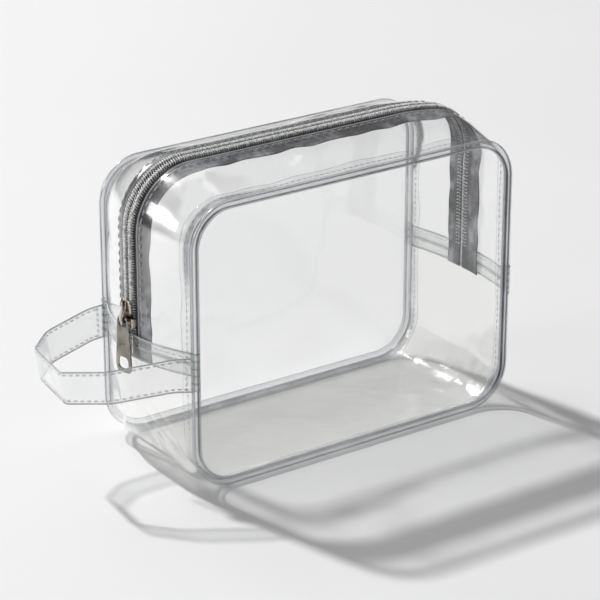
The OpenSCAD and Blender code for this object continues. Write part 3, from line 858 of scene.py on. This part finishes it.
half_band = BAND_W / 2
band_piece("left_band_film", at_left(JOINT_Z - half_band), at_left(JOINT_Z + half_band), "left_end_band")
band_piece("right_band_film", at_right(JOINT_Z - half_band), at_right(JOINT_Z + half_band), "right_end_band")
band_wrap("right_band_wrap_front", at_right(JOINT_Z + 1), -1, half_band + 1.5, 4)
band_wrap("right_band_wrap_back", at_right(JOINT_Z), 1, half_band, 3)
band_wrap("left_band_wrap_front", at_left(JOINT_Z - 3), -1, half_band + 4, 5)
band_wrap("left_band_wrap_back", at_left(JOINT_Z - 3), 1, half_band + 4, 5)
band_stitches("left_band_stitches", at_left(JOINT_Z + half_band - 3), "left_band_thread")
band_stitches("right_band_stitches", at_right(JOINT_Z + half_band - 3), "right_band_thread")


# ---- Slider, crown and pull tab ----

SLIDER_LOW, SLIDER_HIGH = box_mm("slider_body")
ZIP_X = -HALF_W - LEFT_BULGE
PLATE_T = 1.2
PLATE_IN = ZIP_X - SLIDER_HIGH[0] + PLATE_T
PLATE_OUT = ZIP_X - SLIDER_LOW[0] - PLATE_T
FOOT = PLATE_OUT + PLATE_T
SLIDER_Z = SLIDER_LOW[2] + 1
SLIDER_L = SLIDER_HIGH[2] - SLIDER_Z
SHOULDER_Y = SLIDER_HIGH[1]
NOSE_Y = 4.9
RAIL_T = 1.1
SHOULDER_L = 7.0
CROWN_W = 3.2
EYE_R, EYE_OUT = 1.15, 2.5


def joint_place(name):
    """A joint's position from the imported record, in millimetres."""
    joint = next(j for j in frame["record"]["behaviour"]["joints"] if j["name"] == name)
    return np.array(joint["pos_m"]) / MM


PIVOT = joint_place("tab_swing")
PIVOT_OFF = ZIP_X - PIVOT[0]

# Both turn an outline's first axis up. FACE_OUT turns its second to Y and its thickness to -X, and
# FACE_SIDE turns its second to -X and its thickness to Y
FACE_OUT = Matrix(((0, 0, -1, 0), (0, 1, 0, 0), (1, 0, 0, 0), (0, 0, 0, 1)))
FACE_SIDE = Matrix(((0, -1, 0, 0), (0, 0, 1, 0), (1, 0, 0, 0), (0, 0, 0, 1)))
AT_ZIP = Matrix.Translation((ZIP_X * MM, 0, 0))


def extruded(name, outline, holes, low, high, place, material, bevel, segments=3):
    """A flat outline with holes, given as lists of points, extruded from low to high with round edges."""
    curve = bpy.data.curves.new(name, "CURVE")
    curve.dimensions = "2D"
    curve.fill_mode = "BOTH"
    curve.extrude = (high - low) / 2 * MM - bevel * MM
    curve.offset = -bevel * MM
    curve.bevel_depth = bevel * MM
    curve.bevel_resolution = segments
    for loop in [outline] + holes:
        spline = curve.splines.new("POLY")
        spline.points.add(len(loop) - 1)
        for point, (a, b) in zip(spline.points, loop):
            point.co = (a * MM, b * MM, 0, 1)
        spline.use_cyclic_u = True
    holder = new_object(name + "_curve", curve)
    bpy.context.view_layer.update()
    mesh = bpy.data.meshes.new_from_object(holder.evaluated_get(bpy.context.evaluated_depsgraph_get()))
    bpy.data.objects.remove(holder)
    bpy.data.curves.remove(curve)
    mesh.transform(place @ Matrix.Translation((0, 0, (low + high) / 2 * MM)))
    tidy_mesh(mesh, weld=1e-6)
    piece = new_object(name, mesh)
    give_material(piece, material)
    return piece


def shade_by_angle(piece, degrees):
    """Smooth shading with sharp edges over the given angle."""
    mesh = piece.data
    mesh.polygons.foreach_set("use_smooth", [True] * len(mesh.polygons))
    bm = bmesh.new()
    bm.from_mesh(mesh)
    for edge in bm.edges:
        if edge.calc_face_angle(0) > math.radians(degrees):
            edge.smooth = False
    bm.to_mesh(mesh)
    bm.free()


def join(pieces, name):
    """Joins several meshes into the first one."""
    bm = bmesh.new()
    for piece in pieces:
        bm.from_mesh(piece.data)
    bm.to_mesh(pieces[0].data)
    bm.free()
    for piece in pieces[1:]:
        bpy.data.objects.remove(piece)
    pieces[0].name = pieces[0].data.name = name
    return pieces[0]


def rounded(points, radius, steps=5):
    """An outline with its corners rounded off."""
    made = []
    for i, corner in enumerate(points):
        corner = np.array(corner, float)
        a, b = points[i - 1] - corner, points[(i + 1) % len(points)] - corner
        la, lb = np.linalg.norm(a), np.linalg.norm(b)
        reach = min(radius, la * 0.45, lb * 0.45)
        a, b = a / la * reach, b / lb * reach
        for t in np.arange(steps + 1) / steps:
            made.append(tuple(corner + a * (1 - t) ** 2 + b * t ** 2))
    return made


def rectangle(a, b, half, across=0.0):
    """An outline from a to b upwards, and half a width each way from across."""
    return [(a, across - half), (b, across - half), (b, across + half), (a, across + half)]


def arc_points(middle, r, start, end, steps):
    turns = np.radians(np.linspace(start, end, steps))
    return [(middle[0] + r * math.cos(t), middle[1] + r * math.sin(t)) for t in turns]


def slider_outline():
    """The plates' outline: two shoulders at the lower end, and a narrow nose."""
    half = [(0, -1.6), (0, -4.4), (1.6, -SHOULDER_Y), (SHOULDER_L, -SHOULDER_Y), (10, -NOSE_Y),
            (SLIDER_L - 1.5, -NOSE_Y), (SLIDER_L, 1.5 - NOSE_Y)]
    other = [(up, -across) for up, across in half[::-1]]
    return rounded([(SLIDER_Z + up, across) for up, across in half + other + [(-1, 0)]], 1.2)


def slider_piece():
    """Two plates, the post between them, and a rail along each shoulder."""
    top = SLIDER_Z + SHOULDER_L
    parts = [
        ("plate_a", slider_outline(), PLATE_IN - PLATE_T, PLATE_IN, 0.35),
        ("plate_b", slider_outline(), PLATE_OUT, FOOT, 0.4),
        ("post", rounded(rectangle(SLIDER_Z + 1, top, 0.5), 0.3), PLATE_IN - 0.2, PLATE_OUT + 0.2, 0.1),
    ]
    for side in (-1, 1):
        rail = rectangle(SLIDER_Z + 1.6, top, RAIL_T / 2, side * (SHOULDER_Y - RAIL_T / 2))
        parts.append(("rail", rounded(rail, 0.3), FILM_T / 2, PLATE_OUT + 0.2, 0.15))
    slider = join([
        extruded(name, outline, [], low, high, AT_ZIP @ FACE_OUT, SLIDER_METAL, bevel)
        for name, outline, low, high, bevel in parts
    ], "slider_shell")
    shade_by_angle(slider, 35)
    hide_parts("slider_body")
    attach(slider, "slider")


def crown_piece():
    """The crown: an eye for the tab's pin, and a back that runs up to the end of the plate."""
    end = SLIDER_Z + SLIDER_L - 1
    middle = (PIVOT[2], PIVOT_OFF)
    back = [(end - 4, FOOT + 1.9), (end - 1.4, FOOT + 1.25), (end, FOOT + 0.5), (end, FOOT)]
    outline = [(PIVOT[2] - EYE_OUT, FOOT)] + arc_points(middle, EYE_OUT, 180, 78, 12) + back
    hole = arc_points(middle, EYE_R, 0, 345, 24)
    piece = extruded("slider_crown", outline, [hole], -CROWN_W / 2, CROWN_W / 2, AT_ZIP @ FACE_SIDE,
                     SLIDER_METAL, 0.42, 4)
    shade_by_angle(piece, 30)
    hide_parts("slider_bail")
    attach(piece, "slider")


TAB_L = PIVOT[2] - box_mm("pull_tab")[0][2]
TAB_W, TAB_TOP_W, TAB_T, TAB_YAW = 12.5, 9.0, 1.2, 11
TAB_ABOVE = 1.2
PIN_R = 0.78
WINDOW_L, WINDOW_TOP, WINDOW_HALF = 4.6, 0.75, 2.7
SLOT_L, SLOT_IN = 7.0, 2.2


def tab_piece():
    """The pull: a flat plate with a pin in a window at its top and a rounded slot at its end."""
    half, top = TAB_W / 2, TAB_TOP_W / 2
    side = [(TAB_ABOVE, top - 0.6), (-4, top + 0.1), (4 - TAB_L, half), (-TAB_L, half - 1.4)]
    outline = rounded([(up, -across) for up, across in side] + side[::-1], 2.4, 6)
    window = rounded(rectangle(-WINDOW_L, -WINDOW_TOP, WINDOW_HALF), 0.8, 4)
    low, wide = SLOT_IN - TAB_L, half - SLOT_IN
    slot = [(low, -wide), (low, wide), (low + SLOT_L, wide - 0.3), (low + SLOT_L, 0.3 - wide)]
    place = Matrix.Translation(Vector(PIVOT * MM)) @ Matrix.Rotation(math.radians(TAB_YAW), 4, "Z")
    plate = extruded("tab_plate", outline, [window, rounded(slot, 2.6, 6)], -TAB_T / 2, TAB_T / 2,
                     place @ FACE_OUT, TAB_METAL, 0.38, 4)
    pin = Bundle()
    across = np.array([0.9 - top, 1.0 - top, 0, top - 1.0, top - 0.9])
    path = np.stack([0 * across, across, 0 * across], -1)
    pin.tube(path, PIN_R, 16, np.repeat([[0, 0, 1.0]], len(path), 0))
    pin_piece = pin.piece("tab_pin", TAB_METAL)
    pin_piece.data.transform(place)
    tab = join([plate, pin_piece], "pull_tab_plate")
    shade_by_angle(tab, 35)
    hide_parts("pull_tab")
    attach(tab, "tab")


slider_piece()
crown_piece()
tab_piece()


# ---- Strap ----

STRAP_W, STRAP_T = 20.0, 0.4
STRAP_GAP = 0.05
SWING_X, _, STRAP_Z = joint_place("strap_swing")
# How far the strap hangs below the level, in degrees, from its ends outwards
STRAP_DROOP = 9.0
DROOP_START, DROOP_END = 110, 128
# Corners of its middle line seen from above, and the radius of the bend at each
STRAP_CORNERS = [(-108.6, -47.2), (-150.5, -26), (-168, -6.5), (-163.5, 28.5), (-148.5, 41), (-108.6, 47.2)]
STRAP_BENDS = [0, 30, 4, 6, 14, 0]
STRAP_STEP = 1.2


def strap_line():
    """The strap's middle line seen from above, before it droops, and the distance along it."""
    points = []
    for i, (corner, radius) in enumerate(zip(STRAP_CORNERS, STRAP_BENDS)):
        corner = np.array(corner)
        if radius == 0:
            points.append(corner)
            continue
        a, b = np.array(STRAP_CORNERS[i - 1]) - corner, np.array(STRAP_CORNERS[i + 1]) - corner
        a, b = a / np.linalg.norm(a), b / np.linalg.norm(b)
        reach = radius / math.tan(math.acos(a @ b) / 2)
        for t in np.linspace(0, 1, 9):
            points.append(corner + a * reach * (1 - t) ** 2 + b * reach * t ** 2)
    points = np.array(points)
    run = np.concatenate([[0], np.cumsum(np.linalg.norm(np.diff(points, axis=0), axis=1))])
    at = np.linspace(0, run[-1], int(run[-1] / STRAP_STEP))
    return np.stack([np.interp(at, run, points[:, 0]), np.interp(at, run, points[:, 1])], -1), at


strap_xy, strap_run = strap_line()
strap_along = np.gradient(strap_xy, axis=0)
strap_along /= np.linalg.norm(strap_along, axis=1, keepdims=True)
strap_side = np.stack([-strap_along[:, 1], strap_along[:, 0]], -1)


def strap_points(height, depth, index):
    """Points of the strap at a height above its middle line and a depth towards the side."""
    index, height, depth = np.broadcast_arrays(index, height, depth)
    xy = strap_xy[index] + strap_side[index] * depth[..., None]
    droop = -np.radians(STRAP_DROOP) * step_up(-xy[..., 0], DROOP_START, DROOP_END)
    out = xy[..., 0] - SWING_X
    x = out * np.cos(droop) + height * np.sin(droop)
    z = -out * np.sin(droop) + height * np.cos(droop)
    return np.stack([SWING_X + x, xy[..., 1], STRAP_Z + z], -1)


def follow_strap(piece, node_name):
    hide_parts(node_name)
    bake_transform(piece)


def strap_layer(name, depths, node_name):
    """One film layer of the strap, with pale rims along both of its edges."""
    half = STRAP_W / 2
    heights = np.array([-half, -half + 0.25, -half + 0.9, -6, -3, 0, 3, 6, half - 0.9, half - 0.25, half])
    wave = 0.12 * np.sin(strap_run / 4.0)[:, None] * np.cos(heights / 5)
    index = np.arange(len(strap_xy))[:, None]
    grids = [strap_points(heights, depth + wave, index) for depth in depths]
    rim = 0.9 * step_up(np.abs(heights), half - 0.8, half - 0.2)[None] * np.ones_like(wave)
    rim[:, [0, -1]] = 1
    rim[[0, -1]] = 1
    piece = sheet_piece(name, grids, STRAP_FILM, edge=rim)
    follow_strap(piece, node_name)


strap_layer("strap_outer_film", (STRAP_GAP, STRAP_GAP + STRAP_T), "strap_outer")
strap_layer("strap_inner_film", (-STRAP_GAP - STRAP_T, -STRAP_GAP), "strap_inner")


def strap_stitches():
    """Two rows of stitches along the strap's edges, and one across each of its ends, on both faces."""
    rows = Bundle()
    step, last = strap_run[1], len(strap_xy) - 1
    outs = np.pad(strap_side, ((0, 0), (0, 1)))
    face_depths = [face * (STRAP_T + 0.12 + STITCH_DIPS) for face in (1, -1)]
    for height in (-STRAP_W / 2 + 1.9, STRAP_W / 2 - 1.9):
        for middle in np.arange(4, last - 3, STITCH_PITCH / step):
            at = np.clip(middle + STITCH_STEPS / step, 0, last)
            low = np.floor(at).astype(int)
            high = np.minimum(low + 1, last)
            share = (at - low)[:, None]
            for depth in face_depths:
                path = strap_points(height, depth, low) * (1 - share)
                path += strap_points(height, depth, high) * share
                rows.tube(path, STITCH_RADII, 6, outs[low])
    for index in (4, last - 4):
        for middle in np.arange(-STRAP_W / 2 + 1.5, STRAP_W / 2 - 1, STITCH_PITCH * 0.85):
            for depth in face_depths:
                path = strap_points(middle + STITCH_STEPS * 0.9, depth, index)
                rows.tube(path, STITCH_RADII, 6, outs[[index] * len(path)])
    follow_strap(rows.piece("strap_stitches", THREAD), "strap_thread")


strap_stitches()


# ---- Floor, light and camera ----

def build_floor():
    mesh = bpy.data.meshes.new("floor")
    mesh.from_pydata([(-4, -4, 0), (4, -4, 0), (4, 6, 0), (-4, 6, 0)], [], [(0, 1, 2, 3)])
    mesh.materials.append(floor_material())
    floor = new_object("floor", mesh)
    floor.location.z = -0.0002


def add_area(name, place, target, size, power):
    light = bpy.data.lights.new(name, "AREA")
    light.shape = "RECTANGLE"
    light.size, light.size_y = size
    light.energy = power
    lamp = new_object(name, light)
    lamp.location = place
    lamp.rotation_euler = (Vector(target) - Vector(place)).to_track_quat("-Z", "Y").to_euler()


def build_lights():
    """A sun for the long shadow, soft boxes for the reflections, and a sky, darkest at its horizon."""
    sun = bpy.data.lights.new("key", "SUN")
    sun.energy = 2.35
    sun.angle = math.radians(3.2)
    travel = Vector((0.19, -0.89, -1.0))
    new_object("key", sun).rotation_euler = travel.to_track_quat("-Z", "Y").to_euler()
    add_area("left_box", (-1.55, 0.55, 0.75), (-0.1, 0, 0.1), (0.9, 0.55), 7)
    add_area("back_box", (-0.25, 1.9, 1.15), (0, 0, 0.1), (0.9, 0.5), 8)
    add_area("top_box", (0.2, 0.9, 1.7), (0, 0, 0.08), (1.4, 0.7), 2.5)
    world = bpy.data.worlds.new("studio")
    world.use_nodes = True
    tree = world.node_tree
    tree.nodes.clear()
    up = node(tree, "SeparateXYZ", {0: node(tree, "TexCoord").outputs["Generated"]}).outputs[2]
    sky = ramp(tree, math_node(tree, "MULTIPLY_ADD", up, 0.5, 0.5), [
        (0.45, 0.30), (0.52, 0.10), (0.60, 0.35), (0.75, 0.62), (0.9, 0.8)])
    background = node(tree, "Background", {0: sky}, Strength=0.32)
    tree.links.new(background.outputs[0], node(tree, "OutputWorld").inputs[0])
    bpy.context.scene.world = world


CAMERA_AIM = Vector((-0.0058, 0.0003, 0.0759))
CAMERA_PLACE = Vector((-0.8005, -1.1305, 0.6436))


def build_camera():
    camera = bpy.data.cameras.new("camera")
    camera.sensor_width = 36
    camera.lens = 156
    camera.clip_end = 30
    seen = new_object("camera", camera)
    seen.location = CAMERA_PLACE
    seen.rotation_euler = (CAMERA_AIM - CAMERA_PLACE).to_track_quat("-Z", "Y").to_euler()
    bpy.context.scene.camera = seen


build_floor()
build_lights()
build_camera()
scene = bpy.context.scene
scene.view_settings.view_transform = "Standard"
scene.cycles.transparent_max_bounces = 24
